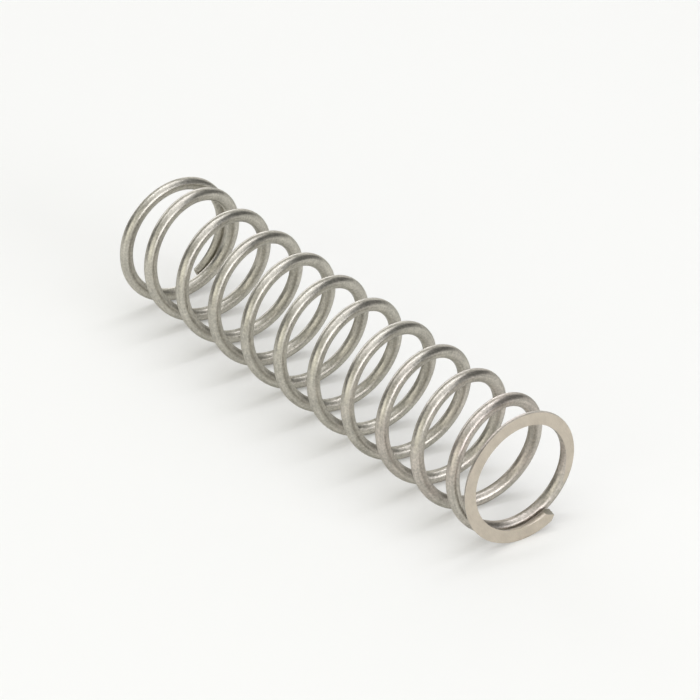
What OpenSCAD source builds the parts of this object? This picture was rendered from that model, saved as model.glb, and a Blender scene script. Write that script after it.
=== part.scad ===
// Helical compression spring wound from one round wire, with closed and ground ends.
// It stands on its ground end: Z runs up the coil's own axis, Z = 0 is the seat, and the lower
// tip of the wire is on +X.
// All sizes are in millimetres.

/* [Wire] */
// Diameter of the drawn wire
wire_d = 1.8; // [1.2:0.1:2.2]

/* [Coil] */
// Diameter over the outside of the coils
coil_outer_d = 18.4; // [15:0.1:26]
// Length of the unloaded spring between its two ground ends
free_length = 76.2; // [62:0.2:96]
// Turns of wire from tip to tip, the closed turn at each end included
total_coils = 12.01; // [8:0.01:13]
// Which way the wire turns as it climbs
winding = "right"; // [right, left]

/* [Closed ends] */
// How much less than its own diameter the wire climbs in the closed turn at each end
closed_lap = 0.35; // [0:0.05:1]
// Clear gap between a tip and the turn that it lies against
tip_gap = 0.15; // [0.1:0.05:0.5]
// Part of a turn in which the wire bends from the closed pitch to the open one
bend_turns = 0.5; // [0.1:0.05:0.6]

/* [Ground ends] */
// Thickness of wire that grinding leaves at the lower tip
lower_tip = 0.7; // [0.45:0.05:1.05]
// Thickness of wire that grinding leaves at the upper tip
upper_tip = 0.6; // [0.45:0.05:1.05]

/* [Hidden] */
wire_r = wire_d / 2;
// Radius of the wire's own centre line
coil_r = (coil_outer_d - wire_d) / 2;
// Height of the centre line at each tip
tip_z = [lower_tip - wire_r, free_length + wire_r - upper_tip];
turning = winding == "right" ? 1 : -1;
// Pitch of the closed turns
closed_pitch = wire_d - closed_lap;

// In its first turn the wire climbs just far enough to clear its own tip, which is this much
// more than the closed pitch gives it
first_extra = tip_gap + closed_lap;
// Height that the bends and the open turns add on top of the closed pitch, up to half way
half_extra = (tip_z[1] - tip_z[0] - closed_pitch * total_coils) / 2;
// Both hold where the bend starts this part of a turn before the first turn is complete: one
// value for a bend that ends within that turn, the other for one that runs on past it
half_turns = (total_coils - bend_turns) / 2 - 1;
short_lead = (first_extra * half_turns + half_extra * bend_turns / 2) / (half_extra - first_extra);
long_part = bend_turns * first_extra;
long_lead = (long_part + sqrt(pow(long_part, 2) + 2 * long_part * half_turns * half_extra)) / half_extra;
bend_lead = short_lead >= bend_turns ? short_lead : long_lead;
// What the open turns climb more, each turn, than the closed ones
added_pitch = half_extra / (half_turns + bend_lead);

// The wire is a chain of twelve-sided rings, wide enough to have the round wire's own area
sides = 12;
rings_per_turn = 36;
ring_r = wire_r * sqrt(PI / (sides / 2 * sin(360 / sides)));
last_ring = ceil(total_coils * rings_per_turn);

// Share of the bend that is done after u turns from a tip, and that share summed up to there
function bent(u) = min(max((u - 1 + bend_lead) / bend_turns, 0), 1);
function bent_sum(u) = bend_turns * pow(bent(u), 2) / 2 + max(u - 1 + bend_lead - bend_turns, 0);
// Height climbed after u turns from a tip, and the pitch at that point
function climb(u) = closed_pitch * u + added_pitch * bent_sum(u);
function pitch(u) = closed_pitch + added_pitch * bent(u);

// Centre line height after u turns from the lower tip: each half is measured from its own tip
function line_z(u) = u < total_coils / 2 ? tip_z[0] + climb(u) : tip_z[1] - climb(total_coils - u);
function line_pitch(u) = pitch(min(u, total_coils - u));

// One ring of the wire, square to its centre line
function ring(u) =
    let (
        way = turning * 360 * u,
        slope = atan(line_pitch(u) / (2 * PI * coil_r)),
        out = [cos(way), sin(way), 0],
        up = [turning * sin(slope) * sin(way), -turning * sin(slope) * cos(way), cos(slope)],
        middle = coil_r * out + [0, 0, line_z(u)]
    )
    [for (i = [0 : sides - 1])
        let (a = 360 * (i + 0.5) / sides)
        middle + ring_r * (cos(a) * out + turning * sin(a) * up)];

// The whole wire before grinding, cut off square at both tips
module wound_wire() {
    points = [for (k = [0 : last_ring]) each ring(total_coils * k / last_ring)];
    walls = [for (k = [0 : last_ring - 1], i = [0 : sides - 1])
        let (a = k * sides + i, b = k * sides + (i + 1) % sides)
        each [[a, b, b + sides], [a, b + sides, a + sides]]];
    lower_cut = [for (i = [0 : sides - 1]) sides - 1 - i];
    upper_cut = [for (i = [0 : sides - 1]) last_ring * sides + i];
    polyhedron(points, concat(walls, [lower_cut, upper_cut]), convexity = 20);
}

// The spring: grinding takes away all wire that stands beyond the two end planes
module spring() {
    color([0.66, 0.64, 0.59])
    intersection() {
        wound_wire();
        cylinder(h = free_length, r = coil_outer_d);
    }
}

spring();
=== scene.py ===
# A helical compression spring of round stainless wire, with closed and ground ends.
# Metres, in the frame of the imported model: the spring stands on its ground end at z = 0, Z runs
# up the coil's own axis, and the lower tip of the wire is on +X.
import bpy
import numpy as np
from mathutils import Matrix


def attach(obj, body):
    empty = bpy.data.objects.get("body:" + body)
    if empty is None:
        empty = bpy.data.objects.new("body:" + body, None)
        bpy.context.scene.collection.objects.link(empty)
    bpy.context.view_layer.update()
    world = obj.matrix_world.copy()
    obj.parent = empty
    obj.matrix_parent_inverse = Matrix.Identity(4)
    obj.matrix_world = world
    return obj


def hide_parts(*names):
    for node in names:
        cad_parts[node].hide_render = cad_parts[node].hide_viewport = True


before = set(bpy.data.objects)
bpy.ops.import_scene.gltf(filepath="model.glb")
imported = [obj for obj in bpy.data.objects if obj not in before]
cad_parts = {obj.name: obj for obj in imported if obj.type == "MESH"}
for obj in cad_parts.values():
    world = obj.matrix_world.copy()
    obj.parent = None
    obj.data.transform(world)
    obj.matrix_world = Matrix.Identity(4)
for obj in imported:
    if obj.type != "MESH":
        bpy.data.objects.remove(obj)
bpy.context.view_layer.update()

# The wire
# One length of hard drawn stainless wire, coiled cold round an arbor.  The turn at each end is
# closed down until its tip meets the next turn.  Then the tips are sheared off and the ends ground.
mm = 0.001
wire_d = 1.8 * mm
coil_outer_d = 18.4 * mm
free_length = 76.2 * mm
total_coils = 12.01
closed_lap = 0.35 * mm
tip_gap = 0.15 * mm
bend_turns = 0.5
lower_tip = 0.7 * mm
upper_tip = 0.6 * mm
# The lower end turn isn't quite even: it wavers by this much, once in so many turns
lower_waver = 0.235 * mm
waver_turns = 0.95
# The upper tip has sprung out by this much, over so many turns
upper_rise = 0.16 * mm
rise_turns = 0.22

wire_r = wire_d / 2
coil_r = (coil_outer_d - wire_d) / 2
turn_length = 2 * np.pi * coil_r
closed_pitch = wire_d - closed_lap
tip_z = (lower_tip - wire_r, free_length + wire_r - upper_tip)
first_extra = tip_gap + closed_lap
half_extra = (tip_z[1] - tip_z[0] - closed_pitch * total_coils) / 2
half_turns = (total_coils - bend_turns) / 2 - 1
long_part = bend_turns * first_extra
under_root = long_part ** 2 + 2 * long_part * half_turns * half_extra
bend_lead = (long_part + np.sqrt(under_root)) / half_extra
added_pitch = half_extra / (half_turns + bend_lead)


def climb(u):
    """Height gained after u turns from a tip: the closed pitch times u, plus the added pitch
    times the running sum of a ramp that goes from 0 to 1 over the bend."""
    ramp = np.clip((u - 1 + bend_lead) / bend_turns, 0, 1)
    summed = bend_turns * ramp ** 2 / 2 + np.maximum(u - 1 + bend_lead - bend_turns, 0)
    return closed_pitch * u + added_pitch * summed


def line_height(u):
    """Height of the wire's centre line after u turns from the lower tip.  Each half is measured
    from its own tip: the lower with one wave that dies out, sin 2 pi s times 1 - s squared, and
    the upper with a rise of (1 - s) to the power 1.5, where s runs from 0 to 1 over each."""
    v = total_coils - u
    s = np.clip(u / waver_turns, 0, 1)
    wave = np.sin(2 * np.pi * s) * (1 - s ** 2)
    rise = np.clip(1 - v / rise_turns, 0, 1) ** 1.5
    return np.where(u < total_coils / 2, tip_z[0] + climb(u) + lower_waver * wave,
                    tip_z[1] - climb(v) + upper_rise * rise)


def wire_surface(u, out, up):
    """Point of the wire after u turns from the lower tip, that far out from its centre line,
    away from the axis, and that far up, square to the wire.  The centre line climbs at
    (r cos 2 pi u, r sin 2 pi u), and a round wire has out = w cos a and up = w sin a."""
    way, step = 2 * np.pi * u, 1e-4
    slope = np.arctan((line_height(u + step) - line_height(u - step)) / (2 * step * turn_length))
    across = up * np.sin(slope)
    return np.stack([(coil_r + out) * np.cos(way) + across * np.sin(way),
                     (coil_r + out) * np.sin(way) - across * np.cos(way),
                     line_height(u) + up * np.cos(slope)], -1)


# Grinding cut plane faces, but both sprang out of plane as the wheels let go.  Heights of the
# faces over their own end planes, and the parts of a turn over which they change.
lower_hump = 0.47 * mm
hump_turns = 0.8
lower_fall = 0.25 * mm
upper_sunk = 0.38 * mm
upper_lift = 1.23 * mm
lift_turns = 0.4


def lower_face(u):
    """Height of the lower ground face: a hump, sine squared of pi s, where s runs from 0 to 1
    over it, and an even fall."""
    return lower_hump * np.sin(np.pi * np.clip(u / hump_turns, 0, 1)) ** 2 - lower_fall * u


def upper_face(v):
    """Height of the upper ground face, v turns from its tip: (1 - s) to the power 1.5, where s
    runs from 0 to 1 over the lift."""
    return free_length - upper_sunk + upper_lift * np.clip(1 - v / lift_turns, 0, 1) ** 1.5


# Rings of points, so many to a turn, lie closer together in the end turns.  The room is how far
# a ground face lies from the wire's centre line.  Where it is less than the wire's radius, the
# face cuts an arc off the ring.
end_rings, open_rings = 170, 100
end_turns = 1.2
open_end = total_coils - end_turns
end_steps = int(end_turns * end_rings)
open_steps = int((open_end - end_turns) * open_rings)
u = np.concatenate([np.linspace(0, end_turns, end_steps, endpoint=False),
                    np.linspace(end_turns, open_end, open_steps, endpoint=False),
                    np.linspace(open_end, total_coils, end_steps + 1)])
v = total_coils - u
centre = line_height(u)
low_room, high_room = centre - lower_face(u), upper_face(v) - centre
low_on = (u < 1) & (low_room < wire_r)
high_on = (v < 1) & (high_room < wire_r)
quarter = np.pi / 2
even_arc, least_arc = quarter / 2, 0.02
opening_turns = 0.12


def cut_arc(u, room, on):
    """Half the angle of the arc that grinding takes: the arc cosine of room over radius.  Past
    the end of the face the arc opens again to a quarter of the ring, 3 s squared - 2 s cubed."""
    s = np.clip((u - u[on].max()) / opening_turns, 0, 1)
    ground = np.maximum(np.arccos(np.clip(room / wire_r, -1, 1)), least_arc)
    return np.where(on, ground, least_arc + (even_arc - least_arc) * s ** 2 * (3 - 2 * s))


# Four arcs go round a ring: outer side, top, inner side and bottom
arc_sides = 12
sides = 4 * arc_sides
f = np.arange(arc_sides) / arc_sides
low = cut_arc(u, low_room, low_on)[:, None]
high = cut_arc(v, high_room, high_on)[:, None]
side_arc = 2 * quarter - low - high
angle = np.concatenate([low - quarter + side_arc * f, quarter - high + 2 * high * f,
                        quarter + high + side_arc * f, 3 * quarter - low + 2 * low * f], 1)
out, up = wire_r * np.cos(angle), wire_r * np.sin(angle)
up = np.maximum(up, np.where(low_on, -low_room, -wire_d)[:, None])
up = np.minimum(up, np.where(high_on, high_room, wire_d)[:, None])

# The shears left each tip with a blunt nose.  Rings close in over its cut face.  How far a nose
# stands out, how much it falls off to its sides and upwards, and where the upper one's corner is.
steps_in = np.array([0.85, 0.6, 0.35, 0.12])[:, None]
cut_rings = len(steps_in)
lower_bulge, lower_fall_off, lower_slant = 0.05 * mm, 0.15 * mm, 0.1 * mm
upper_bulge, upper_fall_in, upper_fall_out, upper_slant = 0.5 * mm, 0.7 * mm, 1.3 * mm, 0.15 * mm
upper_corner = 0.35
# The wire makes room for a nose over this length
nose_reach = 4 * mm


def with_cut_faces(grid):
    """The grid with rings added at both ends, each nearer to the middle of the end ring."""
    faces = []
    for ring in (grid[0], grid[-1]):
        middle = (ring.max() + ring.min()) / 2
        faces.append(middle + steps_in * (ring - middle))
    return np.concatenate([faces[0][::-1], grid, faces[1]])


def with_copies(row):
    """The row with its two end values repeated for the rings of the cut faces."""
    return np.concatenate([[row[0]] * cut_rings, row, [row[-1]] * cut_rings])


def lower_nose(x, y):
    """How far the lower cut face stands out: a bulge less x squared and y, each times its fall,
    where x and y are the way out and up over the wire's radius."""
    return lower_bulge - lower_fall_off * x ** 2 - lower_slant * y


def upper_nose(x, y):
    """The same for the upper one, which falls in a straight line to each side of a corner."""
    fall = np.where(x < upper_corner, upper_fall_in, upper_fall_out)
    return upper_bulge - fall * np.abs(x - upper_corner) - upper_slant * y


out, up = with_cut_faces(out), with_cut_faces(up)
angle = np.apply_along_axis(with_copies, 0, angle)
u, low_on, high_on = with_copies(u), with_copies(low_on), with_copies(high_on)
at = np.repeat(u[:, None], sides, 1)
for tip, side, nose in ((0, 1, lower_nose), (total_coils, -1, upper_nose)):
    run = side * (at - tip) * turn_length
    stands_out = nose(out / wire_r, up / wire_r)
    moved = run - stands_out * (1 - run / nose_reach)
    at = np.where(run < nose_reach, tip + side * moved / turn_length, at)
points = wire_surface(at, out, up)


def tube_mesh(name, points, along, around, kind, crease):
    """A closed tube through rings of points: quads between neighbouring rings, wound so that
    they face outwards, and one small face on each end.  kind is each quad's material and crease
    the points whose edges along the tube or round it stay sharp.  The UV map holds metres along
    the wire and the way round it, 0 to 1."""
    rings, sides = points.shape[:2]
    k, i = np.meshgrid(np.arange(rings - 1), np.arange(sides), indexing="ij")
    j = (i + 1) % sides
    here, there = k * sides, (k + 1) * sides
    quads = np.stack([here + i, there + i, there + j, here + j], -1).reshape(-1, 4).tolist()
    ends = [list(range(sides)), list(range(rings * sides - 1, (rings - 1) * sides - 1, -1))]
    mesh = bpy.data.meshes.new(name)
    mesh.from_pydata(points.reshape(-1, 3).tolist(), [], quads + ends)

    # The map's seam runs down the first column, so each row gets its first value again, plus 1
    row = np.concatenate([around, around[:, :1] + 1], 1)
    metres = np.stack([along[k, i], along[k + 1, i], along[k + 1, j], along[k, j]], -1)
    way_round = np.stack([row[k, i], row[k + 1, i], row[k + 1, i + 1], row[k, i + 1]], -1)
    body = np.stack([metres.ravel(), way_round.ravel()], -1)
    caps = np.stack([np.concatenate([g[0], g[-1][::-1]]) for g in (along, around)], -1)
    uv = np.concatenate([body, caps]).astype(np.float32)
    mesh.uv_layers.new(name="wire").data.foreach_set("uv", uv.ravel())
    numbers = np.append(kind.ravel(), [kind[0, 0], kind[-1, 0]]).astype(np.int32)
    mesh.polygons.foreach_set("material_index", numbers)
    mesh.polygons.foreach_set("use_smooth", np.ones(len(mesh.polygons), bool))
    pair = np.empty(len(mesh.edges) * 2, np.int32)
    mesh.edges.foreach_get("vertices", pair)
    pair = pair.reshape(-1, 2)
    sharp = crease.ravel()[pair].all(1)
    mesh.attributes.new("sharp_edge", "BOOLEAN", "EDGE").data.foreach_set("value", sharp)
    mesh.update()
    return mesh


# Materials by number.  A point's arc is 0 on the outer side, 1 on top, 2 inside and 3 below.
skin_number, ground_number, torn_number = 0, 1, 2
arc, step = np.arange(sides) // arc_sides, np.arange(sides) % arc_sides
ground = (high_on[:, None] & (arc == 1)) | (low_on[:, None] & (arc == 3))
kind = np.where(ground[:-1] & ground[1:], ground_number, skin_number)
kind[:cut_rings] = kind[-cut_rings:] = torn_number
# Grinding has also rubbed the inner edge of the upper tip
rubbed_turns = 0.13
rubbed = (arc == 2) & (step < arc_sides / 2)
near_tip = u[:-1] > total_coils - rubbed_turns
kind[near_tip[:, None] & rubbed & (kind == skin_number)] = ground_number
# The edges of the ground faces and of the sheared tips are sharp
top_edges = (step == 0) & ((arc == 1) | (arc == 2))
bottom_edges = (step == 0) & ((arc == 3) | (arc == 0))
crease = (high_on[:, None] & top_edges) | (low_on[:, None] & bottom_edges)
crease[:cut_rings] = crease[-cut_rings:] = False
crease[cut_rings] = crease[-cut_rings - 1] = True
# The way round starts at the bottom of the outer side
way_round = (angle + quarter) / (4 * quarter)
mesh = tube_mesh("spring_wire", points, at * turn_length, way_round, kind, crease)
wire = bpy.data.objects.new("spring_wire", mesh)
bpy.context.scene.collection.objects.link(wire)


class Sock:
    """One output of a material's nodes, with arithmetic that adds Math nodes."""

    def __init__(self, tree, socket=None):
        self.tree = tree
        self.socket = socket

    def node(self, kind, settings=None, out=0, **inputs):
        """Adds a node of any kind: settings first, then values or links by the socket's name, or
        by its number, written _0, _1 and so on.  Gives back its output of that number."""
        made = self.tree.nodes.new(kind)
        for name, value in (settings or {}).items():
            setattr(made, name, value)
        for name, value in inputs.items():
            slot = made.inputs[int(name[1:]) if name[0] == "_" else name.replace("_", " ")]
            if isinstance(value, Sock):
                self.tree.links.new(value.socket, slot)
            else:
                slot.default_value = value
        return Sock(self.tree, made.outputs[out] if made.outputs else None)

    def beside(self, name):
        """Another output of the same node, by its name."""
        return Sock(self.tree, self.socket.node.outputs[name])

    def math(self, operation, *values):
        """Adds a Math node on these values, in their order."""
        numbered = {f"_{number}": value for number, value in enumerate(values)}
        return self.node("ShaderNodeMath", {"operation": operation}, **numbered)

    def __add__(self, other):
        return self.math("ADD", self, other)

    def __radd__(self, other):
        return self.math("ADD", other, self)

    def __sub__(self, other):
        return self.math("SUBTRACT", self, other)

    def __rsub__(self, other):
        return self.math("SUBTRACT", other, self)

    def __mul__(self, other):
        return self.math("MULTIPLY", self, other)

    def __rmul__(self, other):
        return self.math("MULTIPLY", other, self)

    def noise(self, where, scale, detail, roughness=0.6):
        """A noise of that many cells a metre, with that many finer octaves."""
        return self.node("ShaderNodeTexNoise", Vector=where, Scale=scale, Detail=detail,
                         Roughness=roughness)

    def between(self, share, dark, light):
        """The colour that lies that share of the way from dark to light."""
        return self.node("ShaderNodeMix", {"data_type": "RGBA"}, 2, _0=share, _6=dark, _7=light)


def new_material(name):
    """An empty material and the start of its expressions."""
    made = bpy.data.materials.new(name)
    made.use_nodes = True
    made.node_tree.nodes.clear()
    return made, Sock(made.node_tree)


# Bare steel whitens less at a low angle than a mirror does
edge_tint = (0.72, 0.72, 0.70, 1)


def metal(start, tone, roughness, relief, depth):
    """Bare metal whose colour, roughness and relief vary over the surface.  The depth is how
    far a relief of 1 stands out, in metres."""
    bump = start.node("ShaderNodeBump", Strength=1.0, Distance=depth, Height=relief)
    skin = start.node("ShaderNodeBsdfPrincipled", Base_Color=tone, Metallic=1.0, Roughness=roughness,
                      Normal=bump, Specular_Tint=edge_tint)
    start.node("ShaderNodeOutputMaterial", Surface=skin)


# Drawn skin: warm grey, with long fine die lines along the wire and a fine matt grain.  Its tone
# is cloudy, with a touch of rose in the clouds.  A rosy tint that grows along the wire towards the
# upper end is a painted reflection of pinkish light on the turns nearest the camera.  The patterns'
# cells are counted to a metre, and those of the lines round the wire to its radius.
skin_dark, skin_light = (0.26, 0.248, 0.216, 1), (0.70, 0.67, 0.587, 1)
skin_rose_and_reflection = (0.747, 0.653, 0.597, 1)
lines_along, lines_round = 160.0, 3.5
grain_cells, blotch_cells, rose_cells = 3200.0, 420.0, 160.0
skin_depth = 0.03 * mm
# Shares of the lines, the grain and the blotches in how pale the skin is, of its clouds in how
# rosy it is, of each metre of wire in its painted rosy reflection, and of the lines and the grain
# in its roughness
lines_pale, grain_pale, blotch_pale, pale_start = 0.7, 1.1, 0.6, 0.7
rose_cloud, painted_rose_growth, rose_start = 1.4, 2.4, 1.55
skin_rough, lines_rough, grain_rough = 0.24, 0.10, 0.12

drawn, start = new_material("drawn_steel")
place = start.node("ShaderNodeTexCoord").beside("Object")
wire_map = start.node("ShaderNodeUVMap", {"uv_map": "wire"})
along_wire = start.node("ShaderNodeSeparateXYZ", Vector=wire_map)
turned = along_wire.beside("Y") * (2 * np.pi)
unrolled = start.node("ShaderNodeCombineXYZ", X=along_wire * lines_along,
                      Y=start.math("COSINE", turned) * lines_round,
                      Z=start.math("SINE", turned) * lines_round)
die_lines = start.noise(unrolled, 1.0, 3.0)
grain = start.noise(place, grain_cells, 2.0)
blotch = start.noise(place, blotch_cells, 2.0)
cloud = start.noise(place, rose_cells, 1.0)
paleness = die_lines * lines_pale + grain * grain_pale + blotch * blotch_pale - pale_start
# Random rose clouds, plus a painted reflection of pinkish light that grows along the wire
rosiness_and_reflection = cloud * rose_cloud + along_wire * painted_rose_growth - rose_start
tone = start.between(paleness, skin_dark, start.between(rosiness_and_reflection, skin_light, skin_rose_and_reflection))
roughness = skin_rough + lines_rough * die_lines + grain_rough * grain
relief = die_lines * 0.5 + grain * 0.5
metal(start, tone, roughness, relief, skin_depth)
mesh.materials.append(drawn)

# Ground faces: a plain fine scratch under faint clouds, lighter and more beige than the skin
ground_dark, ground_light = (0.467, 0.416, 0.349, 1), (0.683, 0.616, 0.517, 1)
scratch_cells, cloud_cells = 1400.0, 500.0
scratch_turn, scratch_stretch = (0, 0, 0.6), (1.0, 5.0, 1.0)
scratch_pale, cloud_pale, pale_start = 0.7, 0.9, 0.3
ground_rough, scratch_rough = 0.4, 0.1
scratch_depth = 0.006 * mm

ground_steel, start = new_material("ground_steel")
place = start.node("ShaderNodeTexCoord").beside("Object")
stretched = start.node("ShaderNodeMapping", Vector=place, Rotation=scratch_turn,
                       Scale=scratch_stretch)
scratch = start.noise(stretched, scratch_cells, 3.0)
cloud = start.noise(place, cloud_cells, 2.0)
tone = start.between(scratch * scratch_pale + cloud * cloud_pale - pale_start,
                     ground_dark, ground_light)
metal(start, tone, ground_rough + scratch_rough * scratch, scratch, scratch_depth)
mesh.materials.append(ground_steel)

# Sheared tips: torn, duller and a little darker
torn_dark, torn_light = (0.38, 0.36, 0.305, 1), (0.55, 0.52, 0.445, 1)
torn_cells, torn_depth = 2600.0, 0.03 * mm
torn_rough, tear_rough = 0.45, 0.15

torn_steel, start = new_material("torn_steel")
place = start.node("ShaderNodeTexCoord").beside("Object")
tears = start.noise(place, torn_cells, 3.0)
tone = start.between(tears, torn_dark, torn_light)
metal(start, tone, torn_rough + tear_rough * tears, tears, torn_depth)
mesh.materials.append(torn_steel)

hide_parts("spring")
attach(wire, "root")


# The table
# The spring lies on a white table, whose plane runs along the spring's axis and touches its
# coils.  It is clear from behind, so that it hides the spring from no side.
table_up = np.array([-0.88728, 0.46123, 0.0])
table_along = np.array([0.0, 0.0, 1.0])
table_side = np.cross(table_along, table_up)
table_foot = np.array([0, 0, free_length / 2]) - table_up * coil_outer_d / 2
half_table = 1.2
table_white = (0.858, 0.857, 0.83, 1)
# Share of plain white in what the camera and the steel see of it
own_white = 0.2


def flat_sheet(name, corners, paint):
    """A flat sheet through four corners that faces the side they run round to the left."""
    mesh = bpy.data.meshes.new(name)
    mesh.from_pydata([tuple(corner) for corner in corners], [], [(0, 1, 2, 3)])
    mesh.materials.append(paint)
    sheet = bpy.data.objects.new(name, mesh)
    bpy.context.scene.collection.objects.link(sheet)
    return sheet


table_paint, start = new_material("table")
matt = start.node("ShaderNodeBsdfDiffuse", Color=table_white)
white = start.node("ShaderNodeEmission", Color=(1, 1, 1, 1), Strength=1.0)
ray = start.node("ShaderNodeLightPath")
seen = ray + ray.beside("Is Glossy Ray") + ray.beside("Is Transmission Ray")
front = start.node("ShaderNodeMixShader", _0=seen * own_white, _1=matt, _2=white)
clear = start.node("ShaderNodeBsdfTransparent")
behind = start.node("ShaderNodeNewGeometry").beside("Backfacing")
sheet = start.node("ShaderNodeMixShader", _0=behind, _1=front, _2=clear)
start.node("ShaderNodeOutputMaterial", Surface=sheet)

corners = [table_foot + half_table * (x * table_along + y * table_side)
           for x, y in ((-1, -1), (-1, 1), (1, 1), (1, -1))]
flat_sheet("table", corners, table_paint)


# The camera
# A long lens, far off, which looks down on the table at 32 degrees from beyond the upper end.
# Its three directions and its place are in the spring's own frame.
camera_data = bpy.data.cameras.new("camera")
camera_data.lens = 249.93
camera_data.sensor_width = 36
camera_data.clip_end = 10
camera = bpy.data.objects.new("camera", camera_data)
right = (0.36459, 0.70136, 0.61251)
upward = (-0.59959, 0.6801, -0.42186)
backward = (-0.71244, -0.21345, 0.66848)
camera_at = (-0.461426, -0.137195, 0.471913)
rows = zip(right, upward, backward, camera_at)
camera.matrix_world = Matrix([*rows, (0, 0, 0, 1)])
bpy.context.scene.collection.objects.link(camera)
bpy.context.scene.camera = camera


# The light
# A white room with soft boxes round the table, warm ones on the left and in front and cool ones
# elsewhere.  A long narrow box overhead throws the shadows, and a card at each side darkens the
# flanks of the wire.
middle = np.array([0, 0, free_length / 2])
warm_white, cool_white = (1.005, 1.0, 0.92), (0.99, 1.0, 1.09)
room_white = 0.57


def over_table(azimuth, elevation):
    """Direction from the spring's middle, in degrees: the azimuth runs round the table from the
    camera towards the right of the picture, and the elevation up from the table."""
    toward = np.array(camera_at) - middle
    toward = toward - (toward @ table_up) * table_up
    toward /= np.linalg.norm(toward)
    rightward = np.cross(table_up, toward)
    az, el = np.radians(azimuth), np.radians(elevation)
    return np.cos(el) * (np.cos(az) * toward + np.sin(az) * rightward) + np.sin(el) * table_up


def soft_box(name, azimuth, elevation, width, height, brightness, colour, distance=0.9):
    """A rectangular lamp that faces the spring, as wide and high as that many degrees.  The
    brightness is in shares of white, and its power is that times pi and the lamp's area.  The
    distance is in metres."""
    way, side = over_table(azimuth, elevation), over_table(azimuth + 90, 0)
    over = np.cross(way, side)
    place = middle + way * distance
    data = bpy.data.lights.new(name, "AREA")
    data.shape = "RECTANGLE"
    data.size, data.size_y = (2 * distance * np.tan(np.radians(a / 2)) for a in (width, height))
    data.energy = brightness * np.pi * data.size * data.size_y
    data.color = colour
    lamp = bpy.data.objects.new(name, data)
    lamp.matrix_world = Matrix([*zip(side, over, way, place), (0, 0, 0, 1)])
    lamp.visible_camera = False
    bpy.context.scene.collection.objects.link(lamp)


def side_card(name, azimuth, width, height, distance, tone):
    """An upright grey card that stands on the table, that far off, and faces the spring."""
    side, away = over_table(azimuth + 90, 0), over_table(azimuth, 0)
    foot = table_foot + away * distance
    corners = [foot + side * x * width / 2 + table_up * y * height
               for x, y in ((-1, 0), (1, 0), (1, 1), (-1, 1))]
    paint, start = new_material(name)
    matt = start.node("ShaderNodeBsdfDiffuse", Color=(tone, tone, tone, 1))
    start.node("ShaderNodeOutputMaterial", Surface=matt)
    flat_sheet(name, corners, paint).visible_camera = False


soft_box("key_box", 45, 17, 36, 24, 3.9, cool_white)
soft_box("left_box", -42, 24, 40, 28, 1.28, warm_white)
soft_box("left_low_box", -60, 6, 50, 12, 0.43, warm_white)
soft_box("front_box", 0, 15, 44, 15, 1.0, warm_white)
soft_box("right_box", 60, 48, 60, 25, 0.33, cool_white)
soft_box("back_box", -158, 11, 50, 20, 2.56, cool_white)
soft_box("back_right_box", 165, 12, 40, 18, 0.8, cool_white)
soft_box("top_box", 100, 78, 60, 50, 0.88, cool_white)
soft_box("ridge_box", -155, 79, 68, 7, 4.15, cool_white)
side_card("right_card", 105, 0.8, 0.62, 0.5, 0.13)
side_card("left_card", -95, 0.55, 0.42, 0.5, 0.17)

room = bpy.data.worlds.new("room")
bpy.context.scene.world = room
room.use_nodes = True
room.node_tree.nodes.clear()
start = Sock(room.node_tree)
white = start.node("ShaderNodeBackground", Color=(*warm_white, 1), Strength=room_white)
start.node("ShaderNodeOutputWorld", Surface=white)

bpy.context.scene.view_settings.view_transform = "Standard"
